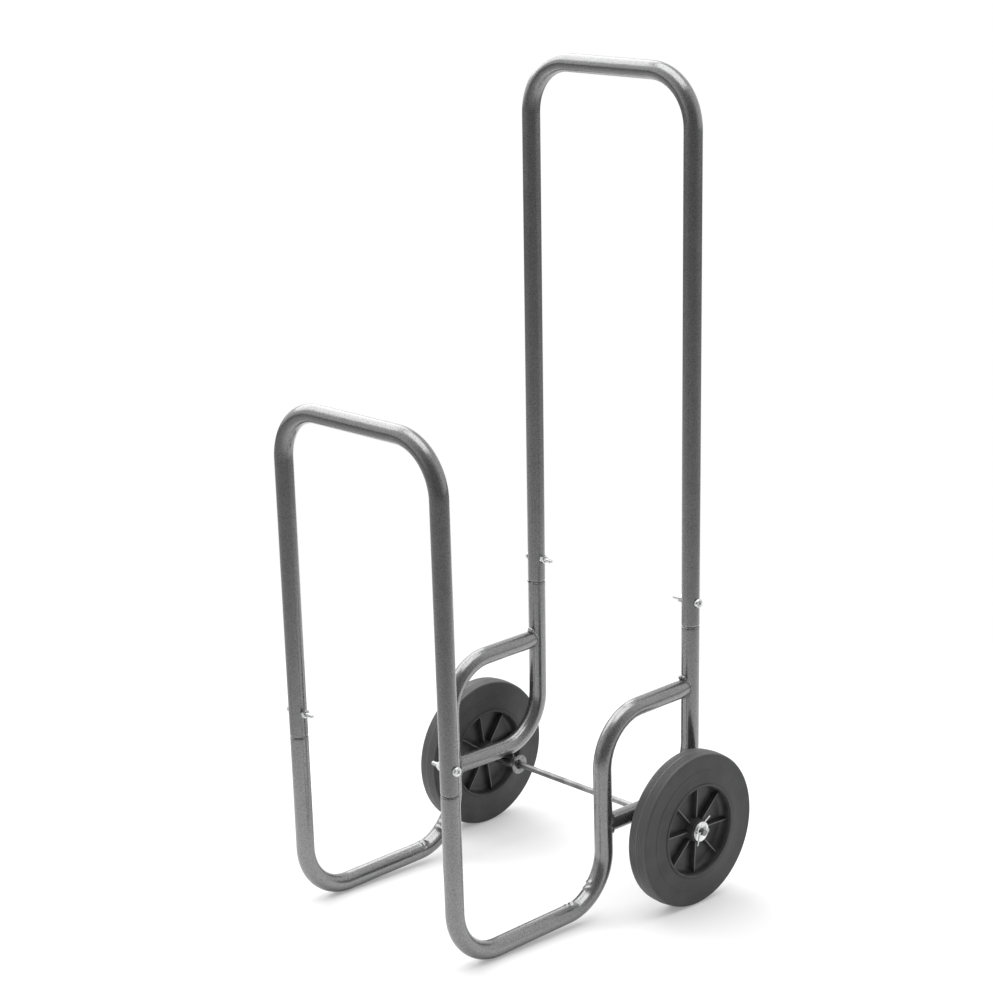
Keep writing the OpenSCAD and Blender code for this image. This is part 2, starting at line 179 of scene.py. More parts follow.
def rear_bend_centre(f):
    """Middle of the bend at the bottom of the rear post, as (back, up)"""
    up = f.run_h + f.bend_r
    return Vector((post_foot(f) - f.bend_r * math.cos(f.lean) + up * math.sin(f.lean),
                   f.bend_r * math.sin(f.lean) + up * math.cos(f.lean)))


def axle_height(f):
    """The axle's sleeve lies against the outside of that bend"""
    centre = rear_bend_centre(f)
    reach = f.bend_r + f.tube_d / 2 + f.sleeve_d / 2
    return centre.y - math.sqrt(reach ** 2 - (f.axle_y - centre.x) ** 2)


def standing(f, w):
    """Tips the level cart on to its front bends and its wheels, with its axle where the joints are"""
    up = axle_height(f)
    run, rise = f.axle_y - f.bend_r, up - f.tube_d / 2 - f.bend_r
    tilt = (math.asin((w.wheel_d / 2 - f.tube_d / 2 - f.bend_r) / math.hypot(run, rise))
            - math.atan2(rise, run))
    hub = WHEELS["right_wheel"]
    return (Matrix.Translation((0, hub.y, hub.z)) @ Matrix.Rotation(tilt, 4, "X")
            @ Matrix.Translation((0, -f.axle_y, -up)))


def up_the_post(f):
    """The post's own upright line: z runs up it from the skid"""
    return Matrix.Translation((0, post_foot(f), 0)) @ Matrix.Rotation(-f.lean, 4, "X")


def axle_places(f, w):
    """Distances out along the axle from the middle of the cart"""
    wheel = WHEELS["right_wheel"].x
    sleeve_in = f.spacing / 2 - f.tube_d / 2 - f.sleeve_show
    outer_washer = wheel + w.lip_w / 2 + w.play
    return {"inner_washer": sleeve_in - w.washer_t, "sleeve_in": sleeve_in,
            "sleeve_out": wheel - w.lip_w / 2 - w.play, "wheel": wheel, "outer_washer": outer_washer,
            "pin": outer_washer + w.washer_t + PIN_PAST_WASHER}


def at_axle(f, x):
    return Matrix.Translation((x, f.axle_y, axle_height(f)))


def on_axle(f, w, side, place):
    """Lays a turned piece, made about z, on the axle's line, pointing outboard"""
    return standing(f, w) @ (at_axle(f, side * axle_places(f, w)[place])
                             @ Matrix.Rotation(side * math.pi / 2, 4, "Y"))


def across_axle(f, w, place):
    """x runs forward to back and y up, in a plane across the axle"""
    return standing(f, w) @ (at_axle(f, axle_places(f, w)[place])
                             @ Matrix(((0, 0, 1, 0), (1, 0, 0, 0), (0, 1, 0, 0), (0, 0, 0, 1))))


# Working by hand

# Points closer than this become one
MERGE = 1e-6
# Points closer than this to a ring's place are on it
NEAR = 1e-4
# Rings this close to the ends of a straight keep its shading straight
HOLD = 0.0015


def clear_selection():
    if bpy.context.object and bpy.context.object.mode != "OBJECT":
        bpy.ops.object.mode_set(mode="OBJECT")
    bpy.ops.object.select_all(action="DESELECT")


def take(piece):
    """Makes a piece the only selected object"""
    clear_selection()
    piece.select_set(True)
    bpy.context.view_layer.objects.active = piece


def edit(piece, kind="VERT"):
    take(piece)
    bpy.ops.object.mode_set(mode="EDIT")
    bpy.ops.mesh.select_mode(type=kind)
    bpy.ops.mesh.select_all(action="DESELECT")


def pick_all():
    bpy.ops.mesh.select_all(action="SELECT")


def leave():
    bpy.ops.object.mode_set(mode="OBJECT")


def pick(piece, test, kind="verts"):
    """Selects what passes the test, in edit mode"""
    bpy.ops.mesh.select_all(action="DESELECT")
    mesh = bmesh.from_edit_mesh(piece.data)
    for item in getattr(mesh, kind):
        if test(item):
            item.select_set(True)
    mesh.select_flush_mode()
    bmesh.update_edit_mesh(piece.data)


def extrude(step):
    bpy.ops.mesh.extrude_region_move(TRANSFORM_OT_translate={"value": tuple(step)})


def resize(by, about):
    bpy.ops.transform.resize(value=by, center_override=tuple(about))


def swing(axis, turn, about, steps):
    """Spins the selected ring along an arc, right-handed about the axis"""
    bpy.ops.mesh.spin(steps=steps, angle=-turn, center=tuple(about), axis=tuple(axis))


def merged_and_outward(piece):
    edit(piece)
    pick_all()
    bpy.ops.mesh.remove_doubles(threshold=MERGE)
    bpy.ops.mesh.normals_make_consistent(inside=False)
    leave()


def apply_modifier(piece, kind, **values):
    take(piece)
    modifier = piece.modifiers.new(kind.title(), kind)
    for name, value in values.items():
        setattr(modifier, name, value)
    bpy.ops.object.modifier_apply(modifier=modifier.name)


def settle(piece, matrix):
    """Moves a piece and puts its place into its mesh"""
    take(piece)
    piece.matrix_world = matrix @ piece.matrix_world
    bpy.ops.object.transform_apply()


def smooth(piece, degrees=35):
    take(piece)
    bpy.ops.object.shade_smooth_by_angle(angle=math.radians(degrees))


def named(piece, name):
    piece.name = piece.data.name = name
    return piece


def copy_of(piece, name):
    """A copy with its own mesh"""
    take(piece)
    bpy.ops.object.duplicate(linked=False)
    return named(bpy.context.object, name)


def mirrored(piece, name):
    """The same piece on the other side of the cart"""
    twin = copy_of(piece, name)
    settle(twin, Matrix.Scale(-1, 4, (1, 0, 0)))
    edit(twin)
    pick_all()
    bpy.ops.mesh.flip_normals()
    leave()
    return twin


def joined(pieces, name):
    clear_selection()
    for piece in pieces:
        piece.select_set(True)
    bpy.context.view_layer.objects.active = pieces[0]
    bpy.ops.object.join()
    return named(bpy.context.object, name)


def dress(piece, node, body, slot, finish=None):
    """Puts a finish on a piece, by default its slot's, and tells the frame what it replaces and rides on"""
    piece.data.materials.clear()
    piece.data.materials.append(FINISHES[finish or slot])
    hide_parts(node)
    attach(piece, body)


def dress_both_sides(right, place, node, slot, finish=None, degrees=35, on_wheel=False):
    """Moves a piece of the right half to its place, smooths and dresses it, and mirrors it to the left"""
    settle(right, place)
    smooth(right, degrees)
    left = mirrored(right, right.name.replace("right", "left"))
    for side, piece in (("right", right), ("left", left)):
        body = side + "_wheel" if on_wheel else "cart_frame"
        dress(piece, side + "_" + node, body, slot, finish)


def facing(way):
    """The turn that points z along a way"""
    return Vector((0, 0, 1)).rotation_difference(way).to_euler()


def added(name, add, **values):
    """Adds an object by one of Blender's own operators, as the only selected one"""
    clear_selection()
    add(**values)
    return named(bpy.context.object, name)


def ring(name, radius, sides, at, way):
    """A loop of edges square to the way it will be drawn along"""
    piece = added(name, bpy.ops.mesh.primitive_circle_add, vertices=sides, radius=radius, location=at,
                  rotation=facing(way))
    edit(piece, "EDGE")
    pick_all()
    return piece


def drawn_bar(name, path, radius, bend_r, ends, sides=64, steps=28):
    """A round bar drawn ring by ring along a path with bent corners.
    ends gives for each end the (forward, radius) steps of its turned-in lip."""
    path = [Vector(p) for p in path]
    ways = [(b - a).normalized() for a, b in zip(path, path[1:])]
    first, last = ends
    piece = ring(name, radius, sides, path[0], ways[0])
    at = path[0].copy()
    for i, way in enumerate(ways):
        stop = path[i + 1].copy()
        if i + 1 < len(ways):
            turn = way.angle(ways[i + 1])
            stop -= way * bend_r * math.tan(turn / 2)
        hold = way * min(HOLD, (stop - at).length / 3)
        for ring_at in (at + hold, stop - hold, stop):
            extrude(ring_at - at)
            at = ring_at
        if i + 1 < len(ways):
            axis = way.cross(ways[i + 1]).normalized()
            centre = at + axis.cross(way) * bend_r
            swing(axis, turn, centre, max(4, round(steps * turn / (math.pi / 2))))
            at = centre + Matrix.Rotation(turn, 3, axis) @ (at - centre)
    finish_end(at, ways[-1], radius, last)
    pick(piece, lambda edge: edge.is_boundary, "edges")
    finish_end(path[0], -ways[0], radius, first)
    leave()
    merged_and_outward(piece)
    return piece


def finish_end(at, way, radius, steps):
    """Turns the selected ring in, step by step, and closes it"""
    now, size = 0.0, radius
    for forward, new in steps:
        extrude(way * (forward - now))
        resize([new / size] * 3, at + way * forward)
        now, size = forward, new
    bpy.ops.mesh.edge_face_add()


def first_point(name, radius, along):
    """A mesh of one point, picked, that an outline is drawn from"""
    piece = added(name, bpy.ops.mesh.primitive_plane_add, size=0.001, location=(radius, 0, along))
    edit(piece)
    pick_all()
    bpy.ops.mesh.merge(type="CENTER")
    return piece


def box(name, middle, sizes):
    piece = added(name, bpy.ops.mesh.primitive_cube_add, size=1, location=middle)
    piece.scale = sizes
    bpy.ops.object.transform_apply()
    return piece


def pick_faces(piece, way):
    """Picks the faces that look up, where way is 1, or down, where it is -1"""
    edit(piece, "FACE")
    pick(piece, lambda face: face.normal.z * way > 0.9, "faces")


def turned(name, outline, steps, closed=True):
    """A piece turned on a lathe about z, from its outline as (radius, along)"""
    piece = first_point(name, *outline[0])
    points = outline[1:] + (outline[:1] if closed else [])
    for (r0, z0), (r1, z1) in zip(outline, points):
        extrude((r1 - r0, 0, z1 - z0))
    pick_all()
    bpy.ops.mesh.spin(steps=steps, angle=2 * math.pi, center=(0, 0, 0), axis=(0, 0, 1))
    leave()
    merged_and_outward(piece)
    return piece


def both_faces(half):
    """A whole outline, from the half of it that lies on one side of the wheel's middle"""
    return half + [(r, -z) for r, z in reversed(half)]


def arc(centre, radius, start, end, steps):
    """Points of an outline round a corner, in degrees"""
    turns = [math.radians(start + (end - start) * i / steps) for i in range(steps + 1)]
    return [(centre[0] + radius * math.cos(turn), centre[1] + radius * math.sin(turn)) for turn in turns]


# Materials

def both_ways(operation):
    """An operator on two values, and its reflected form"""
    return (lambda self, other: self.sum(operation, self, other),
            lambda self, other: self.sum(operation, other, self))


class Wire:
    """A value in a finish's nodes, that can be used in sums"""

    def __init__(self, finish, socket):
        self.finish, self.socket = finish, socket

    def sum(self, operation, *values):
        return self.finish.add("ShaderNodeMath", {"operation": operation}, dict(enumerate(values)))

    __add__, __radd__ = both_ways("ADD")
    __sub__, __rsub__ = both_ways("SUBTRACT")
    __mul__, __rmul__ = both_ways("MULTIPLY")
    __pow__ = both_ways("POWER")[0]

    def __abs__(self):
        return self.sum("ABSOLUTE", self)


class Finish:
    """One material, or the world, and the nodes that make it"""

    def __init__(self, what, shader="Principled BSDF", **surface):
        self.material = bpy.data.materials.new(what) if isinstance(what, str) else what
        self.material.use_nodes = True
        self.tree = self.material.node_tree
        self.surface = self.tree.nodes[shader]
        for socket, value in surface.items():
            self.surface.inputs[socket.replace("_", " ")].default_value = value

    def add(self, kind, choices=None, inputs=None, out=0):
        """Adds a node, makes its choices, fills its sockets and returns one of its outputs"""
        node = self.tree.nodes.new(kind)
        for name, value in (choices or {}).items():
            setattr(node, name, value)
        for name, value in (inputs or {}).items():
            self.put(node.inputs[name], value)
        return Wire(self, node.outputs[out])

    def put(self, socket, value):
        if isinstance(value, Wire):
            self.tree.links.new(value.socket, socket)
        elif hasattr(value, "__len__") and len(value) == 3 and socket.type == "RGBA":
            socket.default_value = (*value, 1.0)
        else:
            socket.default_value = value

    def set(self, **sockets):
        for name, value in sockets.items():
            self.put(self.surface.inputs[name.replace("_", " ")], value)
        return self.material

    def place(self):
        return self.add("ShaderNodeTexCoord", out="Object")

    def vector(self, operation, *values, out="Vector"):
        return self.add("ShaderNodeVectorMath", {"operation": operation}, dict(enumerate(values)), out)

    def measure(self, operation, *values):
        return self.vector(operation, *values, out="Value")

    def apart(self, vector, axis):
        return self.add("ShaderNodeSeparateXYZ", {}, {0: vector}, axis)

    def from_axle(self, place):
        """Distance from the axle's line"""
        spoke = self.vector("SUBTRACT", place, tuple(WHEELS["right_wheel"]))
        back, up = self.apart(spoke, 1), self.apart(spoke, 2)
        return (back * back + up * up) ** 0.5

    def noise(self, place, scale, detail, roughness, out="Fac"):
        return self.add("ShaderNodeTexNoise", {},
                        {"Vector": place, "Scale": scale, "Detail": detail, "Roughness": roughness}, out)

    def cells(self, place, scale):
        """Distance from the nearest of many scattered points"""
        return self.add("ShaderNodeTexVoronoi", {"feature": "SMOOTH_F1"},
                        {"Vector": place, "Scale": scale}, "Distance")

    def fit(self, value, low, high, to_low=0.0, to_high=1.0):
        """Eases from to_low to to_high as the value goes from low to high"""
        return self.add("ShaderNodeMapRange", {"clamp": True, "interpolation_type": "SMOOTHSTEP"},
                        {"Value": value, 1: low, 2: high, 3: to_low, 4: to_high})

    def blend(self, how_much, first, second):
        return self.add("ShaderNodeMix", {"data_type": "RGBA"}, {0: how_much, 6: first, 7: second}, 2)

    def bump(self, height, depth, strength=1.0, under=None):
        inputs = {"Height": height, "Distance": depth, "Strength": strength}
        if under is not None:
            inputs["Normal"] = under
        return self.add("ShaderNodeBump", {}, inputs)


def shaded(tint, by):
    return [by * value for value in tint]


def hammered_paint(c, name, darkened=(), gloss=0.30, brightness=1.0):
    """Grey paint with metal flake, drawn into small soft dimples as it dries,
    and near black round the places given"""
    finish = Finish(name, Coat_Weight=gloss, Coat_Roughness=0.12)
    place = finish.place()
    warp = finish.noise(place, 300.0, 2.0, 0.6, "Color")
    moved = finish.vector("MULTIPLY_ADD", warp, (0.0018, 0.0018, 0.0018), place)
    dimples = finish.fit(finish.cells(moved, 560.0), 0.10, 0.62)
    grain = finish.noise(place, 700.0, 2.0, 0.6)
    cloud = finish.noise(place, 26.0, 3.0, 0.55)
    pale = finish.fit(dimples * 0.36 + grain * 0.44 + cloud * 0.20, 0.26, 0.70)
    tone = finish.blend(pale, shaded(c.paint_dark, brightness), shaded(c.paint, brightness))
    rough = finish.fit(grain * 0.5 + cloud * 0.5, 0.3, 0.7, 0.21, 0.29)
    metal = 0.85
    for spot in darkened:
        # Near black round each place given, beside a sleeve weld
        gap = finish.measure("DISTANCE", place, spot)
        dark_share = finish.fit(gap + finish.noise(place, 210.0, 3.0, 0.6) * 0.010, 0.021, 0.013)
        tone = finish.blend(dark_share, tone, c.scorch)
        rough, metal = rough + dark_share * 0.3, metal - dark_share * 0.75
    dents = finish.bump(dimples, 0.00006, 0.3)
    skin = finish.bump(grain, 0.00002, 0.25, dents)
    return finish.set(Base_Color=tone, Roughness=rough, Metallic=metal, Normal=skin)


def zinc_plating(name, tint):
    """Thin plating, a little clouded and scratched"""
    finish = Finish(name, Metallic=1.0)
    place = finish.place()
    cloud = finish.noise(place, 160.0, 3.0, 0.6)
    fine = finish.noise(place, 2600.0, 1.0, 0.5)
    return finish.set(Base_Color=finish.blend(finish.fit(cloud, 0.35, 0.7), tint, shaded(tint, 0.72)),
                      Roughness=finish.fit(cloud, 0.3, 0.7, 0.20, 0.38),
                      Normal=finish.bump(fine, 0.00002, 0.5))


def drawn_steel(c):
    """Plated rod with fine lines along it and darker streaks"""
    finish = Finish("drawn steel", Metallic=1.0)
    place = finish.place()
    lines = finish.noise(finish.vector("MULTIPLY", place, (20.0, 1500.0, 1500.0)), 1.0, 3.0, 0.6)
    cloud = finish.noise(place, 60.0, 3.0, 0.6)
    dark = finish.fit(lines * 0.5 + cloud * 0.5, 0.35, 0.65)
    return finish.set(Base_Color=finish.blend(dark, c.steel, shaded(c.steel, 0.45)),
                      Roughness=finish.fit(lines, 0.3, 0.7, 0.28, 0.45),
                      Normal=finish.bump(lines, 0.00002, 0.5))


def tyre_rubber(c, w):
    """Solid grey-black rubber, matt and a little dusty. It is smoother on the tread, and paler there as a
    painted sheen
    """
    finish = Finish("tyre rubber", Specular_IOR_Level=0.35)
    place = finish.place()
    cloud = finish.noise(place, 38.0, 4.0, 0.6)
    fine = finish.noise(place, 900.0, 3.0, 0.6)
    dust = finish.fit(finish.noise(place, 320.0, 5.0, 0.7), 0.62, 0.78)
    tone = finish.blend(finish.fit(cloud, 0.3, 0.72), shaded(c.tyre, 0.82), shaded(c.tyre, 1.25))
    tone = finish.blend(dust * 0.10, tone, c.dust)
    tread = finish.fit(finish.from_axle(place), w.wheel_d / 2 - w.shoulder_r, w.wheel_d / 2 - 0.0012)
    # The paler colour on the tread is a painted sheen; its lower roughness is real
    return finish.set(Base_Color=finish.blend(tread, tone, shaded(c.tyre, 1.6)),
                      Roughness=finish.fit(cloud, 0.3, 0.7, 0.50, 0.64) - tread * 0.14,
                      Normal=finish.bump(fine, 0.00006, 0.5))


def moulded_black(c, w):
    """Black moulded plastic with a fine spark-eroded grain, and a painted highlight along the free edges of
    the ribs
    """
    finish = Finish("moulded black plastic", Specular_IOR_Level=0.5)
    place = finish.place()
    outward = abs(abs(finish.apart(place, 0)) - WHEELS["right_wheel"].x)
    radius = finish.from_axle(place)
    edge = w.web_t / 2 + w.rib_depth
    # Painted highlight along the ribs' free edges, between the boss and the dish's rim
    painted_rib_highlight = (finish.fit(outward, edge - 0.0008, edge - 0.0002)
            * finish.fit(radius, w.boss_d / 2, w.boss_d / 2 + 0.003)
            * finish.fit(radius, w.dish_d / 2 - 0.001, w.dish_d / 2 - 0.003))
    grain = finish.noise(place, 1400.0, 2.0, 0.5)
    flow = finish.noise(place, 45.0, 3.0, 0.6)
    tone = finish.blend(finish.fit(flow, 0.3, 0.7), shaded(c.hub, 0.8), shaded(c.hub, 1.35))
    return finish.set(Base_Color=finish.blend(painted_rib_highlight * 0.7, tone, shaded(c.hub, 4.5)),
                      Roughness=finish.fit(flow, 0.3, 0.7, 0.36, 0.48),
                      Normal=finish.bump(grain, 0.00005, 0.5))


# The middle of a near-black patch on the paint: inboard of its tube's centre line, ahead of the axle and
# above it
DARKENED_INBOARD, DARKENED_AHEAD, DARKENED_ABOVE = 0.004, 0.011, 0.008


class CART_OT_finishes(bpy.types.Operator):
    """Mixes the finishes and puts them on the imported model's pieces"""
    bl_idname = "cart.finishes"
    bl_label = "Finishes"

    def execute(self, context):
        f, w, _, c = settings()
        axle = WHEELS["right_wheel"]
        darkened = [(side * (f.spacing / 2 - DARKENED_INBOARD), axle.y - DARKENED_AHEAD, axle.z + DARKENED_ABOVE)
                 for side in SIDES.values()]
        FINISHES.update(
            frame_paint=hammered_paint(c, "hammered paint", darkened),
            # The front hoop's paint is a darker copy of the frame paint, as painted shade
            front_paint=hammered_paint(c, "hammered paint on front hoop", brightness=c.front_shade),
            weld=hammered_paint(c, "hammered paint on welds", darkened, gloss=0.7),
            zinc=zinc_plating("bright zinc", c.zinc), dull_zinc=zinc_plating("dull zinc", c.dull_zinc),
            steel=drawn_steel(c), tyre=tyre_rubber(c, w), hub=moulded_black(c, w))
        for name, node in frame["nodes"].items():
            for spot in node.material_slots:
                spot.material = FINISHES["steel" if name == "axle" else spot.material.name.split(".")[0]]
        return {"FINISHED"}


# Tubes

# Room round a spigot in its hoop, and how long and how deep its tip tapers
SPIGOT_ROOM, TIP_LONG, TIP_DEEP = 0.0002, 0.002, 0.001
# How far the bore shows up the open ends of a hoop
HOOP_MOUTH = 0.012
# The bender's marks inside the rear bend of a skid. In degrees: the middle of each along the bend and round
# the tube, and its reach each way. In metres: its depth, below nought where it stands proud, and its blend
MARKS = ((24.0, 8, 10.0, 22, 0.0016, 0.0095),
         (56.0, 18, 5.0, 8, 0.0006, 0.0060),
         (5.5, 22, 1.0, 32, 0.0014, 0.0034),
         (1.3, 20, 0.9, 28, -0.00077, 0.0032),
         (9.7, 20, 0.9, 28, -0.00077, 0.0032),
         (43.0, 22, 1.0, 32, 0.0017, 0.0034),
         (38.8, 20, 0.9, 28, -0.000935, 0.0032),
         (47.2, 20, 0.9, 28, -0.000935, 0.0032),
         (-8.0, 0, 1.2, 14, 0.0006, 0.0040))
# How far from the end of the arm, and the share of its width that the squeezed tube keeps there
ARM_PINCH = ((0.024, 0.99), (0.018, 0.95), (0.012, 0.86), (0.006, 0.77), (0.0, 0.72))


def neck(f):
    """Steps of a lower tube's end: rounded shoulder, then the necked spigot"""
    r, e = f.tube_d / 2, f.seam_round
    core = r - f.tube_wall - SPIGOT_ROOM
    return [(e * 0.45, r - e * 0.06), (e * 0.85, r - e * 0.32), (e, r - e * 0.6), (e, core),
            (f.spigot - TIP_LONG, core), (f.spigot, core - TIP_DEEP)]


def hoop(f, name, seam, top):
    """A tube bent twice, level with its seams and open there with rounded rims"""
    half, r, e = f.spacing / 2, f.tube_d / 2, f.seam_round * 0.6
    end = seam + e
    legs = [(-half, 0, end), (-half, 0, top), (half, 0, top), (half, 0, end)]
    inward = [(e * 0.6, r - e * 0.15), (e * 0.93, r - e * 0.5), (e, r - e), (e, r - f.tube_wall),
              (-HOOP_MOUTH, r - f.tube_wall)]
    return drawn_bar(name, legs, r, f.bend_r, (inward, inward))


class CART_OT_hoops(bpy.types.Operator):
    """The front hoop and the tall handle hoop"""
    bl_idname = "cart.hoops"
    bl_label = "Hoops"

    def execute(self, context):
        f, w, _, _ = settings()
        front = hoop(f, "front_hoop_tube", f.front_seam, f.front_hoop)
        settle(front, standing(f, w))
        tall = hoop(f, "handle_hoop_tube", f.rear_seam, f.handle)
        settle(tall, standing(f, w) @ up_the_post(f))
        for piece, node, paint in ((front, "front_hoop", "front_paint"),
                                   (tall, "handle_hoop", "frame_paint")):
            smooth(piece)
            dress(piece, node, "cart_frame", "frame_paint", paint)
        return {"FINISHED"}


def pinch_marks(f, skid):
    """The bender's marks inside the rear bend of the skid: a flat between two pinched folds"""
    centre = Vector((f.spacing / 2, f.skid - f.bend_r, f.tube_d / 2 + f.bend_r))
    edit(skid)
    for along, across, long, wide, depth, blend in MARKS:
        def inside(vert):
            out = vert.co - centre
            turn = math.degrees(math.atan2(out.y, -out.z))
            roll = math.degrees(math.atan2(-out.x, f.bend_r - math.hypot(out.y, out.z)))
            return abs(turn - along) < long and abs(roll - across) < wide

        pick(skid, inside)
        bpy.ops.transform.shrink_fatten(value=-depth, use_proportional_edit=True, proportional_size=blend,
                                        proportional_edit_falloff="SMOOTH", use_proportional_connected=True)
    leave()


def pinch_arm(f, skid):
    """The arm's end, squeezed narrower where it meets the post"""
    end = f.post_y - f.tube_d / 4
    edit(skid)
    for back, narrow in ARM_PINCH:
        pick(skid, lambda v: abs(v.co.y - end + back) < NEAR and v.co.z > f.arm_h - f.tube_d)
        resize((narrow, 1, 1), (f.spacing / 2, end, f.arm_h))
    leave()


class CART_OT_side_tubes(bpy.types.Operator):
    """The skid tubes with their risers and arms, and the rear posts"""
    bl_idname = "cart.side_tubes"
    bl_label = "Side tubes"

    def execute(self, context):
        f, w, _, _ = settings()
        half, r = f.spacing / 2, f.tube_d / 2
        into, lip = f.tube_d / 4, f.seam_round + f.seam_gap
        first = ARM_PINCH[0][0]
        path = [(half, 0, f.front_seam - lip), (half, 0, r), (half, f.skid, r), (half, f.skid, f.arm_h),
                (half, f.post_y - into - first, f.arm_h)]
        run_out = [(first - back, r) for back, _ in ARM_PINCH[1:]]
        skid = drawn_bar("right_skid", path, r, f.bend_r, (neck(f), run_out), steps=56)
        settle(skid, Matrix())
        pinch_marks(f, skid)
        pinch_arm(f, skid)
        path = [(half, 0, f.rear_seam - lip), (half, 0, f.run_h), (half, run_end(f) + into, f.run_h)]
        post = drawn_bar("right_post", path, r, f.bend_r, (neck(f), []))
        dress_both_sides(skid, standing(f, w), "skid_tube", "frame_paint")
        dress_both_sides(post, standing(f, w) @ up_the_post(f), "rear_post", "frame_paint")
        return {"FINISHED"}


# Wheels

# Where the grooves run round the tread, as shares of the way from its middle to its shoulder, and their depth
GROOVES, GROOVE_DEPTH = (0.88, 0.66, 0.44, 0.22), 0.0004
# Height of the mould's parting line round the tread
PARTING_LINE = 0.00012
# Thickness of the hub's rim under the tyre, and the room between the two
HUB_RIM, HUB_ROOM = 0.003, 0.0001
# Room round the axle in hubs and sleeves, and in the washers
HUB_BORE_ROOM, WASHER_ROOM = 0.0003, 0.0002
# Share of a rib's thickness left at its free edge, and the rounding there
RIB_TAPER, RIB_ROUND = 0.72, 0.00035


def tyre_outline(w):
    """Half of the outline, from the hub's seat round to the middle of the tread"""
    dish, lip, side = w.dish_d / 2, w.lip_w / 2, w.tyre_w / 2
    flank, edge, r = dish + w.bead_w, w.wheel_d / 2 - w.crown, w.shoulder_r
    bulge, step, inner_r, outer_r = flank + 0.0009, flank + w.flank_w, 0.0012, 0.0010
    out = [(dish + HUB_RIM, lip - 0.0026), (dish, lip - 0.0026), (dish, lip - inner_r)]
    out += arc((dish + inner_r, lip - inner_r), inner_r, 180, 90, 5)[1:]
    out += arc((flank - outer_r, lip - outer_r), outer_r, 90, 12, 4)
    out += [(flank + 0.0004, lip - 0.0016), (bulge, lip - 0.0014)]
    for i in range(1, 13):
        drop = (1 + math.cos(math.pi * i / 12)) / 2
        out.append((bulge + (step - bulge) * i / 12, side + 0.0004 + (lip - 0.0016 - side) * drop))
    out += [(step + 0.0003, side + 0.0003), (step + 0.0005, side), (edge - r * 1.6, side - 0.0002)]
    out += arc((edge - r, side - r), r, 88, 0, 8)
    land = side - r
    for groove in GROOVES:
        for off, dip in ((0.035, 0), (0.012, GROOVE_DEPTH), (-0.012, GROOVE_DEPTH), (-0.035, 0)):
            share = groove + off
            out.append((edge + w.crown * (1 - share ** 2) - dip, land * share))
    return out + [(edge + w.crown, land * 0.05), (w.wheel_d / 2 + PARTING_LINE, land * 0.02)]


class CART_OT_tyres(bpy.types.Operator):
    """The two solid tyres"""
    bl_idname = "cart.tyres"
    bl_label = "Tyres"

    def execute(self, context):
        f, w, _, _ = settings()
        tyre = turned("right_wheel_tyre", both_faces(tyre_outline(w)), 180)
        dress_both_sides(tyre, on_axle(f, w, 1, "wheel"), "tyre", "tyre", degrees=40, on_wheel=True)
        return {"FINISHED"}


def hub_outline(f, w):
    """Half of the hub's outline: boss, web, rounded foot of the rim, and rim"""
    inner, boss, half = w.dish_d / 2 - HUB_ROOM, w.boss_d / 2, w.lip_w / 2
    edge, web, foot, boss_foot, boss_round = half - 0.0027, w.web_t / 2, 0.0065, 0.0020, 0.0010
    out = [(f.axle_d / 2 + HUB_BORE_ROOM, half), (boss - 0.0022, half)]
    out += arc((boss - 0.0020, half - boss_round), boss_round, 90, 10, 4)[1:]
    out += [(boss - 0.0002, web + 0.0022)]
    out += arc((boss + boss_foot, web + boss_foot), boss_foot, 190, 270, 5)[1:]
    out += [(inner - foot - 0.004, web)]
    out += arc((inner - foot - 0.0005, web + foot), foot, 270, 355, 9)
    return out + [(inner - 0.0002, edge - 0.0006), (inner + 0.0004, edge), (inner + HUB_RIM, edge)]


def rib(w, index):
    """One pair of ribs, through the web, thinner to its free edges and rounded there"""
    start, end = w.boss_d / 2 - 0.0016, w.dish_d / 2 + 0.0006
    middle = ((start + end) / 2, 0, 0)
    piece = box("rib", middle, (end - start, w.rib_t, w.web_t))
    for way in (1, -1):
        pick_faces(piece, way)
        extrude((0, 0, way * w.rib_depth))
        resize((1, RIB_TAPER, 1), middle)
        leave()
    apply_modifier(piece, "BEVEL", width=RIB_ROUND, segments=3, limit_method="ANGLE")
    smooth(piece, 40)
    settle(piece, Matrix.Rotation(index * 2 * math.pi / w.ribs, 4, "Z"))
    return piece


class CART_OT_hubs(bpy.types.Operator):
    """The moulded hubs, with their ribs in both dishes"""
    bl_idname = "cart.hubs"
    bl_label = "Hubs"

    def execute(self, context):
        f, w, _, _ = settings()
        for side, spin in (("left", -w.left_turn), ("right", w.right_turn)):
            shell = turned("hub_shell", both_faces(hub_outline(f, w)), 144)
            smooth(shell, 40)
            hub = joined([shell] + [rib(w, i) for i in range(w.ribs)], side + "_wheel_hub")
            settle(hub, on_axle(f, w, SIDES[side], "wheel") @ Matrix.Rotation(spin, 4, "Z"))
            dress(hub, side + "_hub", side + "_wheel", "hub")
        return {"FINISHED"}


# Welds and sleeves

# Size of the grains that melt a bead's drops into one skin
GRAIN = 0.00035
# Drops in a bead round a tube, and how deep their middles lie under its skin
ROUND_DROPS, SUNK = 34, 0.0018
# Drops that start the bead on the arm: their size, and their places across the arm
START_SIZE, START_PLACES = 0.0033, (-0.0034, -0.0012, 0.0010, 0.0030)
# Drops of a bead along a sleeve: how many, how far apart, and how far inboard of the tube's middle it starts
SLEEVE_DROPS, SLEEVE_STEP, SLEEVE_START = 11, 0.0013, 0.0065


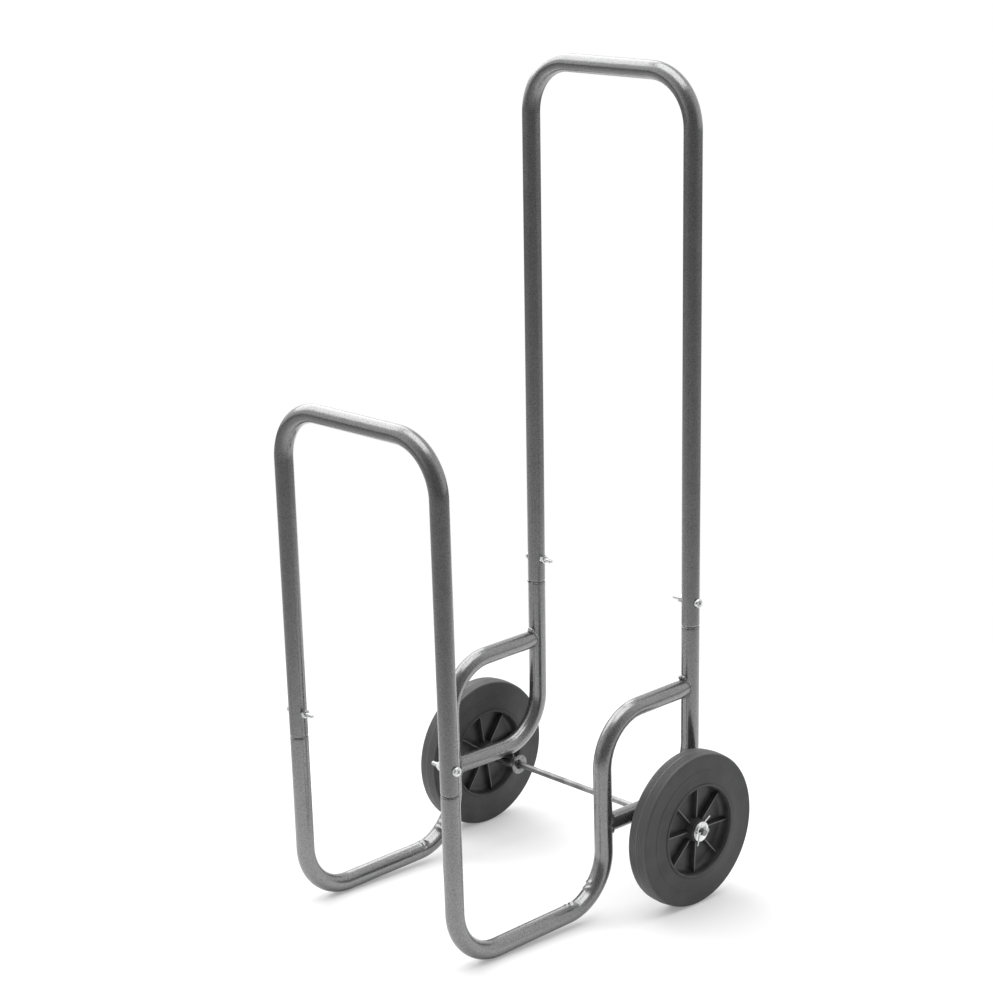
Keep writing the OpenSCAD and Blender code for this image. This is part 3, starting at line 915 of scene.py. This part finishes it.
def bead(name, drops, flat):
    """A weld run, from its drops as (place, radius): each overlaps the last, melted into one skin.
    flat is a drop's length along the run as a share of its width"""
    ripples = []
    for i, (point, size) in enumerate(drops):
        ahead = drops[i + 1][0] - point if i + 1 < len(drops) else point - drops[i - 1][0]
        swell = 1 + 0.05 * math.sin(i * 1.9) + 0.03 * math.sin(i * 4.3)
        ripples.append(added("ripple", bpy.ops.mesh.primitive_uv_sphere_add, segments=20, ring_count=10,
                             radius=size * swell, location=point, rotation=facing(ahead), scale=(1, 1, flat)))
    piece = joined(ripples, name)
    apply_modifier(piece, "REMESH", mode="VOXEL", voxel_size=GRAIN)
    apply_modifier(piece, "SMOOTH", factor=0.5, iterations=3)
    return piece


def joint_bead(f, name, at, way, narrow=1.0):
    """A bead round the end of a tube that meets another of its size squarely. way points back along the
    first, and narrow is the share of its width that its end keeps"""
    lift, drops = f.tube_d / 2 - SUNK, []
    for i in range(ROUND_DROPS):
        turn = 2 * math.pi * i / ROUND_DROPS
        side, up = narrow * math.cos(turn), math.sin(turn)
        drops.append((at + Vector((side * lift, 0, up * lift)) + way * lift * math.sqrt(1 - side ** 2),
                      SUNK + 0.0009 + (f.weld - 0.0008) * abs(up)))
    return bead(name, drops, 0.30)


def sleeve_beads(f):
    """The beads in both corners where a sleeve lies against its bend"""
    centre, size = rear_bend_centre(f), f.weld * 0.6
    down = (Vector((f.axle_y, axle_height(f))) - centre).normalized()
    across = Vector((-down.y, down.x))
    bend = f.bend_r + f.tube_d / 2
    to_sleeve, to_bend, apart = f.sleeve_d / 2 + size * 0.2, bend + size * 0.2, bend + f.sleeve_d / 2
    along = (to_bend ** 2 - to_sleeve ** 2 + apart ** 2) / (2 * apart)
    for behind in (-1, 1):
        spot = centre + down * along + across * behind * math.sqrt(to_bend ** 2 - along ** 2)
        first = f.spacing / 2 - SLEEVE_START
        drops = [(Vector((first + SLEEVE_STEP * i, spot.x, spot.y)), size) for i in range(SLEEVE_DROPS)]
        yield bead("sleeve_weld", drops, 0.6)


class CART_OT_welds(bpy.types.Operator):
    """Welds round the T joints, along the axle sleeves, and the tacks at the rear seams"""
    bl_idname = "cart.welds"
    bl_label = "Welds"

    def execute(self, context):
        f, w, _, _ = settings()
        half, r, back = f.spacing / 2, f.tube_d / 2, Vector((0, 1, 0))
        arm = joint_bead(f, "arm_weld", Vector((half, f.post_y, f.arm_h)), -back, ARM_PINCH[-1][1])
        top = Vector((half - 0.0012, f.post_y - r - 0.0014, f.arm_h + r + 0.0016))
        start = bead("weld_start", [(top + Vector((x, 0.0005 * i, 0.0008 * (i % 2))), START_SIZE)
                                    for i, x in enumerate(START_PLACES)], 0.7)
        level = joined([arm, start, *sleeve_beads(f)], "right_welds")
        settle(level, standing(f, w))
        run = joint_bead(f, "run_weld", Vector((half, run_end(f), f.run_h)), back)
        tack = bead("tack", [(Vector((half + 0.0034, -r + 0.0006, f.rear_seam - 0.0006)), 0.0021),
                             (Vector((half + 0.0043, -r + 0.0009, f.rear_seam)), 0.0018)], 0.9)
        up_post = joined([run, tack], "right_welds_up")
        settle(up_post, standing(f, w) @ up_the_post(f))
        right = joined([level, up_post], "right_welds")
        dress_both_sides(right, Matrix(), "frame_welds", "weld", degrees=70)
        return {"FINISHED"}


class CART_OT_sleeves(bpy.types.Operator):
    """The sleeves under the rear bends that the axle runs through"""
    bl_idname = "cart.sleeves"
    bl_label = "Axle sleeves"

    def execute(self, context):
        f, w, _, _ = settings()
        places = axle_places(f, w)
        long = places["sleeve_out"] - places["sleeve_in"]
        r, bore, edge, bevel = f.sleeve_d / 2, f.axle_d / 2 + HUB_BORE_ROOM, 0.0006, 0.0004
        outline = [(bore, bevel), (bore + bevel, 0), (r - edge, 0)]
        outline += arc((r - edge, edge), edge, -90, 0, 3)[1:]
        outline += arc((r - edge, long - edge), edge, 0, 90, 3) + [(bore + bevel, long), (bore, long - bevel)]
        sleeve = turned("right_sleeve", outline, 64)
        dress_both_sides(sleeve, on_axle(f, w, 1, "sleeve_in"), "axle_sleeve", "weld")
        return {"FINISHED"}


# Axle and fasteners

# How deep the recess in a screw's head goes, and its width and arms' width at the top
RECESS_DEPTH, RECESS_SHARE, RECESS_ARM = 0.0025, 0.60, 0.0014
# Share of the tube's diameter where the screw's plain shank ends, and where its threaded core begins
SHANK_END, CORE_START = 0.70, 0.75
# Turn in degrees of the first fastener of a pair, of the next, and for each metre of height
FIRST_TURN, NEXT_TURN, TURN_BY_HEIGHT = 23, 41, 900


class CART_OT_washers(bpy.types.Operator):
    """Stamped washers inboard of each sleeve and outboard of each wheel"""
    bl_idname = "cart.washers"
    bl_label = "Washers"

    def execute(self, context):
        f, w, _, _ = settings()
        r, bore, t = w.washer_d / 2, f.axle_d / 2 + WASHER_ROOM, w.washer_t
        outline = [(bore, 0.0002), (bore + 0.0002, 0), (r - 0.0005, 0), (r - 0.0001, 0.0002), (r, 0.0006),
                   (r, t - 0.0003), (r - 0.0004, t + 0.00006), (r - 0.0009, t), (bore + 0.0009, t),
                   (bore + 0.0003, t - 0.0001), (bore, t - 0.0005)]
        for washer, finish in (("inner_washer", "dull_zinc"), ("outer_washer", "zinc")):
            disc = turned("right_" + washer + "_disc", outline, 96)
            dress_both_sides(disc, on_axle(f, w, 1, washer), washer, "zinc", finish, degrees=50)
        return {"FINISHED"}


def heading(degrees, size):
    return Vector((math.cos(math.radians(degrees)), math.sin(math.radians(degrees)))) * size


def pin_wire(f, w):
    """The wire's path, as (forward to back, up): the long leg with its knee, the eye and the short leg"""
    off, reach, eye_r = w.pin_wire / 2 * 0.55, 0.009, 0.0024
    eye = f.axle_d / 2 + 0.0001 + eye_r + 0.001
    root_up, root_down = Vector((-reach, off)), Vector((-reach + 0.0026, -off))
    knee = root_up + heading(105, 0.005)
    wire = [knee + heading(29, 0.026), knee, root_up, Vector((eye - eye_r * 1.25, off))]
    wire += [Vector((eye, 0)) + heading(150 - 60 * i, eye_r * 1.12) for i in range(6)]
    return wire + [Vector((eye - eye_r * 1.25, -off)), root_down, root_down + heading(-106, 0.015)]


class CART_OT_split_pins(bpy.types.Operator):
    """One folded wire through each end of the axle, its legs bent apart"""
    bl_idname = "cart.split_pins"
    bl_label = "Split pins"

    def execute(self, context):
        f, w, _, _ = settings()
        r = w.pin_wire / 2
        tip = [(0.0003, r * 0.85), (0.0005, r * 0.5)]
        path = [(place.x, place.y, 0) for place in pin_wire(f, w)]
        pin = drawn_bar("right_pin", path, r, 0.0012, (tip, tip), sides=20, steps=10)
        dress_both_sides(pin, across_axle(f, w, "pin"), "split_pin", "zinc", degrees=50)
        return {"FINISHED"}


def cut(piece, how, tool):
    """Cuts a piece by a tool, or to it, and takes the tool away"""
    apply_modifier(piece, "BOOLEAN", operation=how, object=tool, solver="EXACT")
    bpy.data.objects.remove(tool)


def screw(f, k):
    """A pan-headed screw with a crossed recess, drawn from the head's seat, and a fine coil along its
    threaded end"""
    r, h = k.head_d / 2, k.head_h
    head = turned("screw_head", [(0, 0.0), (r - 0.0003, 0), (r, 0.0003), (r, h * 0.30)]
                  + arc((r * 0.45, h * 0.34), r * 0.55, 5, 60, 6)[:-1]
                  + [(r * 0.62, h * 0.90), (r * 0.35, h * 0.985), (0, h)], 64, closed=False)
    for turn in (0, 90):
        arms = (k.head_d * RECESS_SHARE, RECESS_ARM, (RECESS_DEPTH - 0.0010) * 2)
        cutter = box("recess", (0, 0, h - 0.0010), arms)
        pick_faces(cutter, -1)
        resize((0.5, 0.75, 1), (0, 0, 0))
        leave()
        settle(cutter, Matrix.Rotation(math.radians(turn), 4, "Z"))
        cut(head, "DIFFERENCE", cutter)
    smooth(head, 30)
    reach, shank, root = f.tube_d + k.nut_h + k.thread_end, k.screw_d / 2, k.screw_d / 2 - 0.62 * k.pitch
    core = turned("screw_core", [(0, 0.0005), (shank * 0.97, 0.0005), (shank * 0.97, -f.tube_d * SHANK_END),
                                 (root * 1.01, -f.tube_d * CORE_START), (root * 1.01, -reach + 0.0006),
                                 (root * 0.82, -reach), (0, -reach)], 32, closed=False)
    smooth(core, 40)
    turns = round((reach - f.tube_d * CORE_START) / k.pitch) - 1
    return joined([head, core, thread_coil(k, root, shank - root, -reach + 0.0004, turns)], "screw")


def thread_coil(k, root, tall, start, turns):
    """One tooth's outline, run round and up as a helix about the point that it is drawn from"""
    thread = first_point("thread", root, start)
    for out, up in ((tall, 0.42), (0, 0.16), (-tall, 0.42)):
        extrude((out, 0, up * k.pitch))
    leave()
    apply_modifier(thread, "SCREW", angle=2 * math.pi, screw_offset=k.pitch, iterations=turns, steps=24,
                   render_steps=24, use_merge_vertices=True, merge_threshold=MERGE, axis="Z",
                   use_normal_calculate=True)
    smooth(thread, 50)
    return thread


def nut(k):
    """A hexagon nut, chamfered on both sides, with a countersunk hole"""
    flat, corner, h = k.nut_w / 2, k.nut_w / 2 / math.cos(math.pi / 6), k.nut_h
    piece = added("nut", bpy.ops.mesh.primitive_cylinder_add, vertices=6, radius=corner, depth=h,
                  location=(0, 0, h / 2))
    rim, chamfer = corner + 0.0002, (corner - flat) * 0.62 + 0.0001
    skirt = turned("nut_skirt", [(0, 0), (flat - 0.0001, 0), (rim, chamfer), (rim, h - chamfer),
                                 (flat - 0.0001, h), (0, h)], 96, closed=False)
    bore, mouth, wide = k.screw_d * 0.49, k.screw_d * 0.55, k.screw_d * 0.62
    hole = turned("nut_hole", [(0, -0.001), (wide, -0.001), (mouth, 0.0), (bore, 0.0006), (bore, h - 0.0006),
                               (mouth, h), (wide, h + 0.001), (0, h + 0.001)], 48, closed=False)
    cut(piece, "INTERSECT", skirt)
    cut(piece, "DIFFERENCE", hole)
    apply_modifier(piece, "BEVEL", width=0.00015, segments=2, limit_method="ANGLE",
                   angle_limit=math.radians(40))
    smooth(piece, 30)
    return piece


def at_all_seams(one, what):
    """Puts a pair of one fastener on the front hoop and another on the handle, heads outboard"""
    f, w, _, _ = settings()
    for name, node, seam, upright in (("front_", "front_hoop_", f.front_seam, Matrix()),
                                      ("rear_", "handle_", f.rear_seam, up_the_post(f))):
        pair, z = [], seam + f.screw_rise
        for i, side in enumerate(SIDES.values()):
            spin = math.radians(FIRST_TURN + NEXT_TURN * i + TURN_BY_HEIGHT * z)
            seat = (Matrix.Translation((side * (f.spacing / 2 + f.tube_d / 2), 0, z))
                    @ Matrix.Rotation(side * math.pi / 2, 4, "Y"))
            pair.append(copy_of(one, name + what + str(i)))
            settle(pair[i], standing(f, w) @ upright @ seat @ Matrix.Rotation(spin, 4, "Z"))
        dress(joined(pair, name + what), node + what, "cart_frame", "zinc")
    bpy.data.objects.remove(one)


class CART_OT_screws(bpy.types.Operator):
    """The four screws that hold the hoops on the necked tube ends"""
    bl_idname = "cart.screws"
    bl_label = "Screws"

    def execute(self, context):
        f, _, k, _ = settings()
        at_all_seams(screw(f, k), "screws")
        return {"FINISHED"}


class CART_OT_nuts(bpy.types.Operator):
    """The four nuts inboard of the uprights"""
    bl_idname = "cart.nuts"
    bl_label = "Nuts"

    def execute(self, context):
        f, _, k, _ = settings()
        one = nut(k)
        settle(one, Matrix.Translation((0, 0, -f.tube_d - k.nut_h)))
        at_all_seams(one, "nuts")
        return {"FINISHED"}


# Studio

# The photograph's camera: place in metres, its dip and turn in degrees, focal length and width in pixels
CAMERA_AT, CAMERA_DIP, CAMERA_TURN = (2.1291, -2.0445, 1.2893), 14.725, 46.294
FOCAL_PIXELS, WIDTH_PIXELS, SENSOR_WIDTH = 2493.9, 993, 36.0
# Level directions, rounded: towards the camera, and to the right as it sees the cart
TO_CAMERA, TO_RIGHT = (0.723, -0.691, 0.0), (0.691, 0.723, 0.0)
# Name, place, size in metres and power in watts of each soft box, and where both point
LAMPS = (("soft_box_above", (0.0, 0.0, 2.75), (2.0, 2.0), 30.0),
         ("soft_box_left", (-2.1, 0.25, 2.15), (3.3, 2.1), 48.0))
LAMPS_AIM = Vector((0, 0.05, 0.35))
# Radius of the floor, and the middle of its bright part, behind the cart as the camera sees it
FLOOR_RADIUS, FLOOR_BRIGHT = 12.0, (-0.26, 0.53, 0.0)
WHITE, BLACK = (1.0, 1.0, 1.0), (0.0, 0.0, 0.0)


class CART_OT_studio(bpy.types.Operator):
    """Pale floor, soft lights and the camera at the photograph's angle"""
    bl_idname = "cart.studio"
    bl_label = "Studio"

    def execute(self, context):
        scene = context.scene
        scene.view_settings.view_transform = "Standard"
        facing_cart = (math.radians(90 - CAMERA_DIP), 0, math.radians(CAMERA_TURN))
        scene.camera = added("camera", bpy.ops.object.camera_add, location=CAMERA_AT, rotation=facing_cart)
        lens = scene.camera.data
        lens.sensor_fit, lens.sensor_width, lens.clip_end = "HORIZONTAL", SENSOR_WIDTH, 60
        lens.lens = FOCAL_PIXELS / WIDTH_PIXELS * SENSOR_WIDTH

        floor = added("studio_floor", bpy.ops.mesh.primitive_circle_add, vertices=96, radius=FLOOR_RADIUS,
                      fill_type="NGON")
        floor.data.materials.append(studio_floor(scene.cart_colours))

        scene.world = bpy.data.worlds.new("studio")
        studio_world(scene.world)
        for name, at, size, power in LAMPS:
            turn = (LAMPS_AIM - Vector(at)).to_track_quat("-Z", "Y").to_euler()
            lamp = added(name, bpy.ops.object.light_add, type="AREA", location=at, rotation=turn).data
            lamp.shape, lamp.size, lamp.size_y, lamp.energy = "RECTANGLE", *size, power
        return {"FINISHED"}


def studio_floor(c):
    """Pale floor that keeps the shadow and runs out to plain white. In reflections it is dimmer away from
    the cart, and least so far to the right"""
    finish = Finish("studio floor", Roughness=0.9, Specular_IOR_Level=0.0)
    place = finish.place()
    away = finish.measure("LENGTH", place)
    off = finish.measure("DISTANCE", place, FLOOR_BRIGHT)
    aside = finish.measure("DOT_PRODUCT", place, TO_RIGHT)
    seen = finish.add("ShaderNodeLightPath", out="Is Camera Ray")
    reach = off - finish.fit(aside, 1.9, 3.2, 0.0, 1.6)
    dim = finish.fit(reach, 0.7, 1.95, 0.0, 0.60) + finish.fit(reach, 2.0, 5.0, 0.0, 0.16)
    dim = dim.sum("MAXIMUM", dim, finish.fit(aside, -0.45, -0.9, 0.0, 0.5)) * (1 - seen)
    finish.set(Base_Color=finish.blend(dim, finish.blend(seen, c.floor, WHITE), BLACK))
    glow = finish.add("ShaderNodeEmission", {}, {"Color": WHITE, "Strength": 1.0})
    mixed = finish.add("ShaderNodeMixShader", {}, {0: seen * finish.fit(away, 0.35, 1.3, 0.25, 1.0),
                                                   1: Wire(finish, finish.surface.outputs[0]), 2: glow})
    finish.put(finish.tree.nodes["Material Output"].inputs[0], mixed)
    return finish.material


def studio_world(world):
    """White behind the cart, and dimmer on the camera's side for what isn't seen directly"""
    room = Finish(world, "Background")
    way = room.add("ShaderNodeTexCoord", out="Generated")
    lit = room.fit(room.measure("DOT_PRODUCT", way, TO_CAMERA), 0.0, 0.9, 1.0, 0.20)
    seen = room.add("ShaderNodeLightPath", out="Is Camera Ray")
    room.set(Color=WHITE, Strength=seen + (1 - seen) * lit)


# Add-on

class CART_PT_panel(bpy.types.Panel):
    """Lists the pieces of the log cart"""
    bl_label = "Log cart"
    bl_idname = "CART_PT_panel"
    bl_space_type = "VIEW_3D"
    bl_region_type = "UI"
    bl_category = "Log cart"

    def draw(self, context):
        for operator in OPERATORS:
            self.layout.operator(operator.bl_idname)
        for group in settings():
            box = self.layout.box()
            for name in group.__annotations__:
                box.prop(group, name)


OPERATORS = (CART_OT_finishes, CART_OT_studio, CART_OT_hoops, CART_OT_side_tubes, CART_OT_welds,
             CART_OT_sleeves, CART_OT_screws, CART_OT_nuts, CART_OT_washers, CART_OT_split_pins,
             CART_OT_tyres, CART_OT_hubs)
GROUPS = {"cart_frame": FrameSizes, "cart_wheels": WheelSizes,
          "cart_fasteners": FastenerSizes, "cart_colours": CartColours}


def register():
    for kind in (*GROUPS.values(), *OPERATORS, CART_PT_panel):
        bpy.utils.register_class(kind)
    for name, group in GROUPS.items():
        setattr(bpy.types.Scene, name, PointerProperty(type=group))


def unregister():
    for name in GROUPS:
        delattr(bpy.types.Scene, name)
    for kind in reversed((*GROUPS.values(), *OPERATORS, CART_PT_panel)):
        bpy.utils.unregister_class(kind)


def main():
    for name in ("Cube", "Light", "Camera"):
        if name in bpy.data.objects:
            bpy.data.objects.remove(bpy.data.objects[name])
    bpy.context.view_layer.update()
    register()
    for operator in OPERATORS:
        group, name = operator.bl_idname.split(".")
        getattr(getattr(bpy.ops, group), name)()
    clear_selection()


if __name__ == "__main__":
    main()
